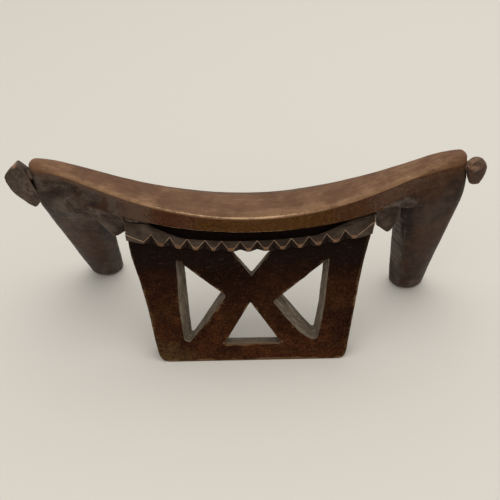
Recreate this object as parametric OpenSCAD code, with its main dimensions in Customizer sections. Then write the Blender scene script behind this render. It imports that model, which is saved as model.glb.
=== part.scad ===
// Carved wooden headrest: a long curved saddle on two tapering back legs and one pierced front panel.
// X runs along the saddle, the front panel faces -Y, and the feet stand on z = 0.

/* [Saddle] */
// Length of the saddle from tip to tip
saddle_l = 432; // [410:1:470]
// Depth of the saddle at mid-length
saddle_w = 52; // [46:1:64]
// Height of the resting surface at its lowest point
rest_h = 150; // [140:1:165]
// Rise of the tips above the lowest point
tip_rise = 55; // [48:1:62]
// Share of that rise by which the ends level out
tip_level = 0.3; // [0.2:0.05:0.4]
// Thickness of the saddle at mid-length
mid_t = 17; // [15:0.5:20]
// Thickness of the saddle at its tips
end_t = 28; // [26:0.5:32]
// Radius of each tip, seen from above
tip_r = 8; // [7:0.5:10]

/* [Legs] */
// Distance of the left leg's outer side from the saddle's left tip
left_leg_in = 4; // [1:0.5:8]
// Distance of the right leg's outer side from the saddle's right tip
right_leg_in = 1; // [0.5:0.5:8]
// Width of a leg under the saddle, along the saddle
leg_top_w = 70; // [60:1:70]
// Depth of a leg under the saddle
leg_top_d = 26; // [24:1:32]
// How far a leg's front stands behind the saddle's face
leg_step = 1.6; // [1:0.2:5]
// Share of a leg's height over which it turns from upright to its slope
leg_bend = 0.16; // [0.08:0.02:0.3]
// Diameter of each foot
foot_d = 37; // [30:1:42]
// How far the left foot stands in from its leg's top
left_foot_in = 8; // [0:1:16]
// How far the right foot stands in from its leg's top
right_foot_in = 3; // [0:1:16]
// How far the left foot stands behind the saddle
left_foot_back = 106; // [80:1:120]
// How far the right foot stands behind the saddle
right_foot_back = 69; // [60:1:100]
// Diameter of the round tenon on top of each leg
leg_tenon_d = 16; // [12:0.5:18]
// Length of that tenon above the saddle's underside
leg_tenon_l = 14; // [10:0.5:18]

/* [Front panel] */
// How far the panel's toe stands in front of the saddle's middle line
panel_reach = 67; // [60:1:80]
// Backward lean of the panel from upright, in degrees
panel_lean = 20.7; // [16:0.1:24]
// Thickness of the panel
panel_t = 24; // [20:0.5:28]
// Width of the panel at the floor
panel_foot_w = 194; // [180:1:210]
// Distance from the panel's top corners to the nearer leg
panel_leg_gap = 18; // [16:1:26]
// Sideways shift of the panel's foot
panel_foot_shift = 2; // [-4:0.5:4]
// Radius of the panel's lower corners
panel_corner_r = 9; // [4:0.5:14]
// Length of the tongue that holds the panel in the saddle
panel_tongue_l = 116; // [80:1:130]
// Thickness of that tongue
panel_tongue_t = 10; // [8:0.5:12]
// Depth of the tongue in the saddle at mid-length
panel_tongue_h = 8; // [6:0.5:10]

/* [Windows] */
// Height of the rail left under the windows, up the slope
rail_h = 20; // [17:0.5:24]
// Distance of the side windows' upper corners below the crest
side_window_drop = 10.5; // [9:0.5:16]
// Distance of the left window's upper corner from the middle
left_window_out = 76; // [70:0.5:82]
// Distance of the left window's lower corner from the middle
left_window_foot = 70.5; // [64:0.5:76]
// Distance of the left window's inner point from the middle
left_point_x = 26; // [22:0.5:34]
// Height of the left window's inner point up the slope
left_point_h = 70.5; // [66:0.5:76]
// Distance of the right window's upper corner from the middle
right_window_out = 80; // [74:0.5:84]
// Distance of the right window's lower corner from the middle
right_window_foot = 68; // [62:0.5:74]
// Distance of the right window's inner point from the middle
right_point_x = 21.5; // [20:0.5:30]
// Height of the right window's inner point up the slope
right_point_h = 63.5; // [60:0.5:70]
// Width of the side windows' blunt lower corners
window_toe_w = 5; // [3:0.5:8]
// Outward bow of the side windows' edges
window_bow = 2.5; // [0:0.5:4]
// Width of the lower window on the rail
foot_window_w = 58; // [48:0.5:62]
// Height of the lower window above the rail
foot_window_h = 44; // [38:0.5:46]
// Depth of the upper window below the crest
crest_window_h = 29; // [24:0.5:34]
// Width of the upper window at the crest
crest_window_w = 48; // [40:0.5:52]

/* [Zigzag cornice] */
// Height of the cornice from its crest to the saddle at mid-width
cornice_h = 22.2; // [20:0.2:25]
// Extra height of the crest at the cornice's ends
crest_rise = 12; // [8:0.5:14]
// How far the crest stands out from the panel
crest_out = 9; // [7:0.5:12]
// How far the cornice's top edge stands out from the panel
cornice_top_out = 3; // [2:0.5:5]
// Number of notches in the zigzag
notch_count = 12; // [6:1:13]
// Length of the plain block at each end of the cornice
cornice_end_w = 17.5; // [14:0.5:30]
// Width of the blunt tip of a tooth between two notches
tooth_tip_w = 3.8; // [2:0.2:6]
// Depth of a notch
notch_h = 8; // [5:0.5:9]
// Depth of the rib that seats the cornice in the panel
rib_depth = 4; // [3:0.5:6]
// Width of that rib
rib_w = 4; // [3:0.5:5]

/* [Pendants] */
// Gap between each pendant and the panel's edge
pendant_gap = 0.5; // [0.2:0.1:2]
// How far a pendant's outer end reaches in front of the leg beside it
pendant_lap = 14; // [10:0.5:16]
// Length of a pendant below the saddle
pendant_l = 30.5; // [24:0.5:36]
// Width of the blunt lower tip
pendant_tip_w = 5; // [3:0.5:8]
// Distance of that tip from the pendant's inner side
pendant_tip_in = 8.5; // [6:0.5:12]
// Height of a pendant's inner side above its tip
pendant_side_h = 8; // [5:0.5:12]
// Thickness of a pendant from front to back
pendant_t = 7.5; // [6:0.5:9]
// How far a pendant's front stands behind the saddle's face
pendant_step = 0.5; // [0:0.1:1]
// Diameter of the peg on top of each pendant
peg_d = 5; // [4:0.5:6]
// Length of that peg above the saddle's underside
peg_l = 10; // [7:0.5:12]

/* [End knobs] */
// Distance of both necks' middle below the saddle's tips
neck_drop = 15; // [12:0.5:17]
// Diameter of each neck
neck_d = 11; // [9:0.5:12]
// Gap between the saddle's tips and the knobs
neck_gap = 1.2; // [1:0.1:3]
// Diameter of the tenon in each saddle tip
knob_tenon_d = 8; // [6:0.5:9]
// Length of that tenon
knob_tenon_l = 12; // [8:0.5:14]
// Width of the left head, along the saddle
head_w = 24; // [20:0.5:28]
// Height of the left head
head_h = 48.5; // [42:0.5:52]
// Height of the left head's top above its neck
head_above = 14.5; // [12:0.5:16]
// Thickness of the left head
head_t = 14; // [11:0.5:16]
// Width of the right tail knob, along the saddle
tail_w = 18; // [15:0.5:22]
// Height of the right tail knob
tail_h = 22.5; // [18:0.5:26]
// Height of the tail knob's top above its neck
tail_above = 5.5; // [5:0.5:8]
// Thickness of the right tail knob
tail_t = 16; // [12:0.5:18]

/* [Fits] */
// Clearance around each tenon, tongue, rib and peg
fit_gap = 0.15; // [0.1:0.05:0.3]
// Gap between two pieces that lie face to face
seat_gap = 0.15; // [0.1:0.05:0.3]
// Spare depth at the bottom of each socket
socket_spare = 0.5; // [0.3:0.1:1]

/* [Hidden] */
$fn = 64;

steps = 72;                    // stations along the saddle's curves
cornice_steps = 24;            // stations along the cornice
leg_fn = 32;                   // sides of a leg
far = 400;                     // reach of a cutting block
deep = 40;                     // reach of a socket below the saddle's underside
over = 1;                      // overlap that keeps a cut clean
thin = 0.1;                    // thickness of a leg's end slices

half_l = saddle_l / 2;
tip_h = rest_h + tip_rise;
neck_h = tip_h - neck_drop;
wood_top = [0.45, 0.29, 0.19];
wood_dark = [0.23, 0.16, 0.12];
wood_panel = [0.20, 0.11, 0.08];
wood_mid = [0.33, 0.22, 0.15];

// Where the whole part stands, so that its origin is the middle of its footprint
head_tip_x = -half_l - neck_gap - head_w;
tail_tip_x = half_l + neck_gap + tail_w;
back_y = max(left_foot_back, right_foot_back) + foot_d / 2;
origin_x = (head_tip_x + tail_tip_x) / 2;
origin_y = (back_y - panel_reach) / 2;

// Stations from tip to tip, closer together near the tips
stations = [for (i = [0:steps]) -half_l * cos(180 * i / steps)];

// Height of the resting surface at x
function top_z(x) = let (u = abs(x) / half_l)
    rest_h + tip_rise * pow(u, 2) * (1 + tip_level - tip_level * pow(u, 6));

// Height of the saddle's underside at x
function under_z(x) = let (u = min(abs(x) / half_l, 1))
    top_z(x) - mid_t - (end_t - mid_t) * pow(sin(90 * u), 2);

// Half of the saddle's depth at x
function half_w(x) = let (
    u = abs(x) / half_l,
    past = max(abs(x) - (half_l - tip_r), 0) / tip_r)
    (tip_r + (saddle_w / 2 - tip_r) * (1 - pow(u, 2))) * sqrt(max(1 - pow(past, 2), 0));

// Middle of each leg's top, and the panel's width between them at the height of the cornice
left_leg_x = left_leg_in + leg_top_w / 2 - half_l;
right_leg_x = half_l - leg_top_w / 2 - right_leg_in;
panel_top_w = 2 * (min(-left_leg_x, right_leg_x) - leg_top_w / 2 - panel_leg_gap);
notch_pitch = (panel_top_w - 2 * cornice_end_w) / notch_count;
notch_w = notch_pitch - tooth_tip_w;

// Middle of the panel's thickness where it meets the saddle
tongue_y = -panel_reach + under_z(0) * tan(panel_lean) + panel_t / cos(panel_lean) / 2;

// Height of the cornice's crest up the panel, at mid-width and at x
crest_h = under_z(0) / cos(panel_lean) - cornice_h;
function crest_s(x) = crest_h + crest_rise * pow(2 * x / panel_top_w, 2);

// Points of an arc from angle a to angle b
function arc(centre, r, a, b, n = 8) =
    [for (i = [0:n]) centre + r * [cos(a + (b - a) * i / n), sin(a + (b - a) * i / n)]];

// Half of the panel's width at height z
function panel_half_w(z) = (panel_foot_w
    + (panel_top_w - panel_foot_w) * z / (cos(panel_lean) * (crest_h + crest_rise))) / 2;

// Where the pendants hang: just outside the panel's shoulders, close behind the saddle's face
shoulder_x = panel_half_w(under_z(panel_half_w(under_z(panel_top_w / 2))));
pendant_in_x = shoulder_x + pendant_gap;
left_pendant_w = -left_leg_x - leg_top_w / 2 + pendant_lap - pendant_in_x;
right_pendant_w = right_leg_x - leg_top_w / 2 + pendant_lap - pendant_in_x;

// Middle of a pendant's peg, seen on the right, and of its thickness
function peg_x(w) = pendant_in_x + w / 2;
function pendant_y(w) = -half_w(peg_x(w)) + pendant_step + pendant_t / 2;

module placed() {
    translate([-origin_x, -origin_y, 0]) children();
}

// The plane of the panel's front face: x across, y up the slope, z out of the face
module on_panel() {
    translate([0, -panel_reach, 0]) rotate([90 - panel_lean, 0, 0]) children();
}

// Everything above the saddle's underside, which the pieces below are cut to
module above_underside(gap) {
    reach = [for (x = stations) [x, under_z(x) - gap]];
    rotate([90, 0, 0])
        linear_extrude(height = far, center = true)
            polygon(concat([[-half_l - far, under_z(half_l) - gap]], reach,
                [[half_l + far, under_z(half_l) - gap], [half_l + far, far], [-half_l - far, far]]));
}

// The saddle before its sockets: its outline from above cut to its outline from the front
module saddle_blank() {
    plan = concat([for (x = stations) [x, -half_w(x)]],
        [for (i = [steps - 1:-1:1]) [stations[i], half_w(stations[i])]]);
    side = concat([for (x = stations) [x, top_z(x)]],
        [for (i = [steps:-1:0]) [stations[i], under_z(stations[i])]]);
    intersection() {
        linear_extrude(height = far) polygon(plan);
        rotate([90, 0, 0]) linear_extrude(height = far, center = true) polygon(side);
    }
}

// A round peg standing on the saddle's underside at x and y, with a root below it
module peg(x, y, d, l, root) {
    translate([x, y, under_z(x) - root]) cylinder(d = d, h = root + l);
}

// The blind socket for that peg in the saddle
module peg_socket(x, y, d, l) {
    peg(x, y, d + 2 * fit_gap, l + socket_spare, deep);
}

// The tenon of an end knob or its socket, along X in the saddle's tip on one side
module knob_tenon(side, gap = 0, spare = 0) {
    translate([side * (half_l - knob_tenon_l - spare), 0, neck_h])
        rotate([0, side * 90, 0])
            cylinder(d = knob_tenon_d + 2 * gap, h = knob_tenon_l + spare + over);
}

// The panel's tongue or its mortise in the saddle
module panel_tongue(gap = 0, spare = 0) {
    top = under_z(0) + panel_tongue_h + spare;
    low = under_z(0) - panel_tongue_h;
    translate([-panel_tongue_l / 2 - gap, tongue_y - panel_tongue_t / 2 - gap, low])
        cube([panel_tongue_l + 2 * gap, panel_tongue_t + 2 * gap, top - low]);
}

module saddle() {
    color(wood_top) placed() difference() {
        saddle_blank();
        for (x = [left_leg_x, right_leg_x]) peg_socket(x, 0, leg_tenon_d, leg_tenon_l);
        for (side = [-1, 1]) {
            w = side < 0 ? left_pendant_w : right_pendant_w;
            peg_socket(side * peg_x(w), pendant_y(w), peg_d, peg_l);
            knob_tenon(side, fit_gap, socket_spare);
        }
        panel_tongue(fit_gap, socket_spare);
    }
}

// Share of a leg's way back to its foot that lies behind it at share t of its drop
function leg_lag(t) =
    (t < leg_bend ? pow(t, 2) / (2 * leg_bend) : t - leg_bend / 2) / (1 - leg_bend / 2);

// A leg: an oval under the saddle that starts upright, then tapers back and down to a round foot
module leg(top_x, foot) {
    top = [top_x, -half_w(top_x) + leg_step + leg_top_d / 2, under_z(top_x)];
    slant = (under_z(top_x + leg_top_w / 2) - under_z(top_x - leg_top_w / 2)) / leg_top_w;
    turns = [0, leg_bend / 2, leg_bend, 1];
    color(wood_dark) placed() {
        difference() {
            union() {
                leg_slice(top, foot, slant, 0, end_t);
                for (i = [1:len(turns) - 1]) hull() {
                    leg_slice(top, foot, slant, turns[i - 1], thin);
                    leg_slice(top, foot, slant, turns[i], thin);
                }
            }
            above_underside(seat_gap);
        }
        peg(top_x, 0, leg_tenon_d, leg_tenon_l, leg_tenon_l);
    }
}

// One slice of a leg at share t of its drop, slanted like the saddle's underside at the top
module leg_slice(top, foot, slant, t, height) {
    w = leg_lag(t);
    size = (1 - w) * [leg_top_w, leg_top_d] + w * [foot_d, foot_d];
    mid = (1 - w) * [top.x, top.y] + w * foot;
    multmatrix([[1, 0, 0, mid.x], [0, 1, 0, mid.y], [slant * (1 - t), 0, 1, top.z * (1 - t)]])
        linear_extrude(height = height)
            scale([size.x / size.y, 1]) circle(d = size.y, $fn = leg_fn);
}

module left_leg() {
    leg(left_leg_x, [left_leg_x + left_foot_in, left_foot_back]);
}

module right_leg() {
    leg(right_leg_x, [right_leg_x - right_foot_in, right_foot_back]);
}

// Outline of a side window, seen on the right: across and up the slope
function side_window(out_x, point_x, point_h, foot_x) = let (
    toe = [foot_x - window_toe_w, rail_h + over],
    corner = [out_x, crest_h - side_window_drop],
    foot = [foot_x, rail_h + window_toe_w])
    [corner, [point_x, point_h], ([point_x, point_h] + toe) / 2 - [window_bow, window_bow] / 2,
     toe, foot, (foot + corner) / 2 + [window_bow, 0]];

module windows() {
    scale([-1, 1]) polygon(side_window(left_window_out, left_point_x, left_point_h, left_window_foot));
    polygon(side_window(right_window_out, right_point_x, right_point_h, right_window_foot));
    polygon([[0, rail_h + foot_window_h], [-foot_window_w / 2, rail_h], [foot_window_w / 2, rail_h]]);
    polygon([[0, crest_h - crest_window_h], [crest_window_w / 2, crest_h + over],
        [-crest_window_w / 2, crest_h + over]]);
}

// The panel's outline from the front, with its lower corners rounded
module panel_outline() {
    left_x = panel_foot_shift - panel_foot_w / 2;
    right_x = left_x + panel_foot_w;
    r = panel_corner_r;
    polygon(concat([[-panel_half_w(tip_h), tip_h]],
        arc([left_x + r, r], r, 180, 270), arc([right_x - r, r], r, 270, 360),
        [[panel_half_w(tip_h), tip_h]]));
}

module front_panel() {
    color(wood_panel) placed() {
        difference() {
            intersection() {
                rotate([90, 0, 0]) linear_extrude(height = far, center = true) panel_outline();
                on_panel() difference() {
                    translate([-far / 2, -panel_t, -panel_t]) cube([far, far, panel_t]);
                    translate([0, 0, -panel_t - over]) linear_extrude(height = panel_t + 2 * over)
                        windows();
                    cornice_rib(fit_gap, socket_spare);
                }
            }
            above_underside(seat_gap);
        }
        panel_tongue();
    }
}

// Rib on the back of the cornice, or its groove in the panel, parallel to the crest
module cornice_rib(gap = 0, spare = 0) {
    rise = notch_h + rib_w;
    reach = panel_top_w / 2 - notch_pitch + gap;
    xs = [for (i = [0:cornice_steps]) reach * (2 * i / cornice_steps - 1)];
    translate([0, 0, -rib_depth - spare])
        linear_extrude(height = rib_depth + spare + over)
            polygon(concat([for (x = xs) [x, crest_s(x) + rise - gap]],
                [for (i = [cornice_steps:-1:0]) [xs[i], crest_s(xs[i]) + rise + rib_w + gap]]));
}

module zigzag_cornice() {
    color(wood_mid) placed() difference() {
        on_panel() difference() {
            union() {
                cornice_band();
                cornice_rib();
            }
            for (i = [0:notch_count - 1]) cornice_notch((i - (notch_count - 1) / 2) * notch_pitch);
        }
        above_underside(seat_gap);
    }
}

// Wedge-shaped band from crest to saddle, one section for each station
module cornice_band() {
    sections = [for (i = [0:cornice_steps]) let (
        u = 2 * i / cornice_steps - 1,
        crest = crest_s(u * panel_top_w / 2),
        top = under_z(u * panel_top_w / 2) / cos(panel_lean) + 2 * over,
        crest_x = u * panel_half_w(crest * cos(panel_lean)),
        top_x = u * panel_half_w(top * cos(panel_lean)))
        [[crest_x, crest, seat_gap], [crest_x, crest, crest_out],
         [top_x, top, cornice_top_out], [top_x, top, seat_gap]]];
    sides = [for (i = [0:cornice_steps - 1]) for (j = [0:3]) let (
        a = 4 * i + j,
        b = 4 * i + (j + 1) % 4)
        each [[a, b, b + 4], [a, b + 4, a + 4]]];
    last = 4 * cornice_steps;
    polyhedron([for (section = sections) each section],
        concat([[3, 2, 1], [3, 1, 0]], sides,
            [[last, last + 1, last + 2], [last, last + 2, last + 3]]));
}

// One V notch, apex up, square to the crest at x
module cornice_notch(x) {
    turn = atan(8 * crest_rise * x / pow(panel_top_w, 2));
    translate([x, crest_s(x), -rib_depth])
        rotate([0, 0, turn])
            linear_extrude(height = rib_depth + crest_out + over)
                polygon([[-notch_w / 2, 0], [-notch_w / 2, -notch_h], [notch_w / 2, -notch_h],
                    [notch_w / 2, 0], [0, notch_h]]);
}

// A faceted pendant of width w beside the panel, on the side given by -1 or 1
module pendant(side, w) {
    in_x = pendant_in_x;
    tip_x = in_x + pendant_tip_in;
    out_x = in_x + w;
    low = under_z(in_x) - pendant_l;
    color(wood_dark) placed() {
        difference() {
            translate([0, pendant_y(w) + pendant_t / 2, 0]) rotate([90, 0, 0])
                linear_extrude(height = pendant_t) scale([side, 1])
                    polygon([[in_x, tip_h], [in_x, low + pendant_side_h],
                        [tip_x - pendant_tip_w / 2, low], [tip_x + pendant_tip_w / 2, low],
                        [out_x, under_z(in_x)], [out_x, tip_h]]);
            above_underside(seat_gap);
        }
        peg(side * peg_x(w), pendant_y(w), peg_d, peg_l, peg_l);
    }
}

module left_pendant() {
    pendant(-1, left_pendant_w);
}

module right_pendant() {
    pendant(1, right_pendant_w);
}

// An end knob: an outline across its thickness, on a round neck and tenon
module end_knob(side, thick, shift) {
    placed() {
        knob_tenon(side);
        translate([side * (half_l + seat_gap), 0, neck_h]) rotate([0, side * 90, 0])
            cylinder(d = neck_d, h = neck_gap + neck_d / 2);
        translate([0, shift + thick / 2, 0]) rotate([90, 0, 0])
            linear_extrude(height = thick) children();
    }
}

module left_knob() {
    in_x = -half_l - neck_gap;
    heel_x = min(left_leg_x - leg_top_w / 2, -half_l + neck_gap) - 2 * seat_gap;
    low = neck_h + head_above - head_h;
    color(wood_dark) end_knob(-1, head_t, (neck_d - head_t) / 2)
        polygon([[in_x, neck_h + neck_d / 2],
            [in_x - 0.34 * head_w, low + 0.97 * head_h], [in_x - 0.42 * head_w, low + head_h],
            [in_x - 0.92 * head_w, low + 0.78 * head_h], [in_x - head_w, low + 0.71 * head_h],
            [in_x - 0.82 * head_w, low + 0.43 * head_h], [in_x - 0.6 * head_w, low + 0.28 * head_h],
            [in_x - 0.16 * head_w, low + 0.06 * head_h], [heel_x - 0.14 * head_w, low],
            [heel_x, low + 0.03 * head_h], [heel_x, low + 0.15 * head_h],
            [in_x, low + 0.5 * head_h]]);
}

module right_knob() {
    in_x = half_l + neck_gap;
    low = neck_h + tail_above - tail_h;
    color(wood_mid) end_knob(1, tail_t, 0)
        polygon([for (p = [[0, 0.05], [0.33, 0], [0.56, 0.02], [0.67, 0.12], [0.8, 0.34],
                [0.92, 0.55], [1, 0.7], [0.95, 0.82], [0.8, 0.94], [0.6, 1], [0.35, 1],
                [0.14, 0.95], [0, 0.85]])
            [in_x + p.x * tail_w, low + p.y * tail_h]]);
}

saddle();
left_leg();
right_leg();
front_panel();
zigzag_cornice();
left_pendant();
right_pendant();
left_knob();
right_knob();
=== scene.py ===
import itertools
import math

import bmesh
import bpy
import numpy as np
from mathutils import Matrix, Vector
from mathutils.geometry import delaunay_2d_cdt
from mathutils.kdtree import KDTree


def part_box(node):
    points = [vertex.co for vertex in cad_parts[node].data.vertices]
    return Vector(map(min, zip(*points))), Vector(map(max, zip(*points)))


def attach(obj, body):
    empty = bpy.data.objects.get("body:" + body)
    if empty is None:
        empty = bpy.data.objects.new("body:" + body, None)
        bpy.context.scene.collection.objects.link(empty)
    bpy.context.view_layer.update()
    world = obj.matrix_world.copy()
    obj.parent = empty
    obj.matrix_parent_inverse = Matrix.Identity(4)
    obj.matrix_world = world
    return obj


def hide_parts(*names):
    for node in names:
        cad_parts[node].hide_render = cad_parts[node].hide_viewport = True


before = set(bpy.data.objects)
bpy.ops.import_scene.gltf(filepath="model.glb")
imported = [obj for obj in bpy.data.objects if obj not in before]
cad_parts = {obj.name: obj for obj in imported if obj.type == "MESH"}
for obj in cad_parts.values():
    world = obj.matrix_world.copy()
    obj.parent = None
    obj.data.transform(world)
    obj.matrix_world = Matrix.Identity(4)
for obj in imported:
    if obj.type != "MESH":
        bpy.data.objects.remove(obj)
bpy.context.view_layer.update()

# Everything below is drawn in millimetres from the middle of the saddle, with the floor at 0
mm = 0.001
saddleLow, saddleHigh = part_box("saddle")
middle = np.array([(saddleLow[0] + saddleHigh[0]) / 2, (saddleLow[1] + saddleHigh[1]) / 2, 0.0])


def say(stage):
    print("headrest:", stage)


# Small helpers for shapes

def ease(value, low, high):
    t = np.clip((np.asarray(value, float) - low) / (high - low), 0, 1)
    return t * t * (3 - 2 * t)


def fade(value, low, high):
    return 1 - ease(value, low, high)


def blendTo(a, b, t):
    return a + (b - a) * t


def lattice(points, size, seed):
    # smooth noise from -1 to 1 with lumps of the given size
    cells = 16
    table = np.random.default_rng(seed).random((cells, cells, cells)) * 2 - 1
    q = points / np.asarray(size, float)
    cell = np.floor(q).astype(int)
    f = q - cell
    f = f * f * (3 - 2 * f)
    total = np.zeros(len(points))
    for corner in itertools.product((0, 1), repeat=3):
        at = (cell + corner) % cells
        weight = np.prod(np.where(corner, f, 1 - f), axis=1)
        total += weight * table[at[:, 0], at[:, 1], at[:, 2]]
    return total


adze = {"density": 1.6, "fewest": 12, "soften": 0.25, "deepest": 1.5}


def toolFacets(points, cell, seed):
    # shallow flats left by an adze: each patch of the surface gets its own tilt
    rng = np.random.default_rng(seed)
    q = points / np.asarray(cell, float)
    wide, deep, tall = np.ptp(q, axis=0)
    wanted = adze["density"] * (wide * deep + deep * tall + wide * tall)
    count = int(min(len(q) // 4, max(adze["fewest"], wanted)))
    picks = q[rng.choice(len(q), count, replace=False)]
    tree = treeOf(picks)
    tilts = rng.normal(0, 1, (count, 3))
    height = np.zeros(len(q))
    for i, p in enumerate(q):
        (_, first, d1), (_, second, d2) = tree.find_n(p, 2)
        share = 0.5 + 0.5 * min(1, (d2 - d1) / adze["soften"])
        own, other = (tilts[k] @ (p - picks[k]) for k in (first, second))
        height[i] = share * own + (1 - share) * other
    return np.clip(height, -adze["deepest"], adze["deepest"])


def treeOf(points):
    tree = KDTree(len(points))
    for i, p in enumerate(points):
        tree.insert(p, i)
    tree.balance()
    return tree


def loft(rings):
    # rings of equal length, joined by quads, with a fan at each end
    rings = np.asarray(rings, float)
    n, m = rings.shape[:2]
    verts = rings.reshape(-1, 3).tolist()
    faces = [(i * m + j, i * m + (j + 1) % m, (i + 1) * m + (j + 1) % m, (i + 1) * m + j)
             for i in range(n - 1) for j in range(m)]
    for ring, order in ((0, 1), (n - 1, -1)):
        hub = len(verts)
        verts.append(rings[ring].mean(axis=0).tolist())
        faces += [(ring * m + (j + 1) % m, ring * m + j, hub)[::order] for j in range(m)]
    return verts, faces


def linked(name, data):
    made = bpy.data.objects.new(name, data)
    bpy.context.scene.collection.objects.link(made)
    return made


def newPiece(name, verts, faces, weld=0.0):
    mesh = bpy.data.meshes.new(name)
    mesh.from_pydata([tuple(v) for v in verts], [], [tuple(f) for f in faces])
    bm = bmesh.new()
    bm.from_mesh(mesh)
    if weld:
        bmesh.ops.remove_doubles(bm, verts=bm.verts, dist=weld)
        bmesh.ops.dissolve_degenerate(bm, edges=bm.edges, dist=weld / 2)
    bmesh.ops.recalc_face_normals(bm, faces=bm.faces)
    bm.to_mesh(mesh)
    bm.free()
    return linked(name, mesh)


def applyAll(piece):
    # bakes the piece's modifiers into its mesh
    graph = bpy.context.evaluated_depsgraph_get()
    done = bpy.data.meshes.new_from_object(piece.evaluated_get(graph))
    piece.modifiers.clear()
    old, piece.data = piece.data, done
    bpy.data.meshes.remove(old)


def remeshed(piece, voxel, rounds):
    block = piece.modifiers.new("even grain", "REMESH")
    block.mode, block.voxel_size = "VOXEL", voxel
    soft = piece.modifiers.new("rubbed", "SMOOTH")
    soft.factor, soft.iterations = 0.5, rounds
    applyAll(piece)
    return piece


def hullPiece(name, points, voxel, rounds):
    bm = bmesh.new()
    for p in points:
        bm.verts.new(p)
    bmesh.ops.convex_hull(bm, input=bm.verts)
    bmesh.ops.delete(bm, geom=[v for v in bm.verts if not v.link_faces], context="VERTS")
    bmesh.ops.recalc_face_normals(bm, faces=bm.faces)
    mesh = bpy.data.meshes.new(name)
    bm.to_mesh(mesh)
    bm.free()
    return remeshed(linked(name, mesh), voxel, rounds)


def vectorsOf(rows, name):
    flat = np.empty(len(rows) * 3)
    rows.foreach_get(name, flat)
    return flat.reshape(-1, 3)


def pointsOf(piece):
    return vectorsOf(piece.data.vertices, "co")


def normalsOf(piece):
    return vectorsOf(piece.data.vertex_normals, "vector")


def setPoints(piece, points):
    piece.data.vertices.foreach_set("co", np.asarray(points, float).ravel())
    piece.data.update()


def pushed(piece, height):
    setPoints(piece, pointsOf(piece) + normalsOf(piece) * np.asarray(height)[:, None])


def relaxed(points, edges, rounds):
    count = len(points)
    a, b = edges.T
    near = np.bincount(edges.ravel(), minlength=count).clip(1)[:, None]
    for _ in range(rounds):
        total = np.stack([np.bincount(a, points[b, k], count) + np.bincount(b, points[a, k], count)
                          for k in range(3)], axis=1)
        points = 0.5 * points + 0.5 * total / near
    return points


def keep(piece, name, values, kind="FLOAT", field="value"):
    # a value for each point, kept on the mesh for the materials
    kept = piece.data.attributes.new(name, kind, "POINT")
    kept.data.foreach_set(field, np.asarray(values, np.float32).ravel())


def paint(piece, **tones):
    for name, values in tones.items():
        keep(piece, name, np.clip(values, 0, 1))


def wearAndGrime(piece, rounds, sizes):
    # how far each point stands out of, and lies under, the rubbed-down form
    edges = np.empty(len(piece.data.edges) * 2, int)
    piece.data.edges.foreach_get("vertices", edges)
    points, normals = pointsOf(piece), normalsOf(piece)
    proud = 0
    for count, size in zip(rounds, sizes):
        proud = proud + ((points - relaxed(points, edges.reshape(-1, 2), count)) * normals).sum(axis=1) / size
    return np.clip(proud, 0, 1.5), np.clip(-proud, 0, 1.5)


def keepWear(piece, rounds, sizes, shown=1.0):
    wear, grimeAndShade = wearAndGrime(piece, rounds, sizes)
    keep(piece, "wear", wear * shown)
    keep(piece, "grimeAndShade", grimeAndShade * shown)


def finished(piece, material, node):
    # millimetres to the frame's metres, then the piece takes the CAD node's place
    setPoints(piece, pointsOf(piece) * mm + middle)
    piece.data.polygons.foreach_set("use_smooth", [True] * len(piece.data.polygons))
    piece.data.materials.clear()
    piece.data.materials.append(material)
    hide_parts(node)
    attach(piece, "root")


# Camera and light

cameraLook = {
    "place": (-0.656, -854.18, 691.70),
    "lookDown": 35.0, "roll": 1.2,
    "lens": 72.0, "film": 36.0,
}

roomLook = {
    "floorColour": (0.80, 0.765, 0.695), "floorHalf": 6.0,
    "skyColour": (1.0, 0.985, 0.96), "skyStrength": 0.68,
    "backdropColour": (0.95, 0.94, 0.92), "backdropStrength": 0.8,
    "lampColour": (1.0, 0.975, 0.94), "lampAim": (0, 0, 0.12),
    # power, size in metres and place of each lamp
    "lamps": {"overhead softbox": (10.2, 3.0, (420, 200, 1500)), "soft fill": (1.0, 0.9, (-700, -900, 900))},
}


def addCamera(look):
    down, roll = math.radians(look["lookDown"]), math.radians(look["roll"])
    ahead = Vector((0, math.cos(down), -math.sin(down)))
    up = Vector((0, math.sin(down), math.cos(down)))
    right = Vector((1, 0, 0))
    across = math.cos(roll) * right - math.sin(roll) * up
    above = math.sin(roll) * right + math.cos(roll) * up
    turn = Matrix((across, above, -ahead)).transposed().to_4x4()
    data = bpy.data.cameras.new("camera")
    data.lens, data.sensor_width = look["lens"], look["film"]
    camera = linked("camera", data)
    camera.matrix_world = Matrix.Translation(Vector(np.array(look["place"]) * mm + middle)) @ turn
    bpy.context.scene.camera = camera


def addLamp(name, look):
    power, size, place = look["lamps"][name]
    data = bpy.data.lights.new(name, "AREA")
    data.shape, data.size, data.energy = "DISK", size, power
    data.color = look["lampColour"]
    spot = Vector(np.array(place) * mm + middle)
    aim = Vector(middle) + Vector(look["lampAim"]) - spot
    turn = aim.to_track_quat("-Z", "Y").to_matrix().to_4x4()
    linked(name, data).matrix_world = Matrix.Translation(spot) @ turn


# Shader maths as plain expressions

class Wire:
    def __init__(self, bench, socket):
        self.bench, self.socket = bench, socket

    def joined(self, operation, first, second):
        isVector = any(isinstance(v, Wire) and v.socket.type == "VECTOR" for v in (first, second))
        kind = "ShaderNodeVectorMath" if isVector else "ShaderNodeMath"
        return self.bench.add(kind, {"operation": operation}, {0: first, 1: second})

    def __add__(self, other): return self.joined("ADD", self, other)
    def __radd__(self, other): return self.joined("ADD", other, self)
    def __sub__(self, other): return self.joined("SUBTRACT", self, other)
    def __rsub__(self, other): return self.joined("SUBTRACT", other, self)
    def __mul__(self, other): return self.joined("MULTIPLY", self, other)
    def __rmul__(self, other): return self.joined("MULTIPLY", other, self)


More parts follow.
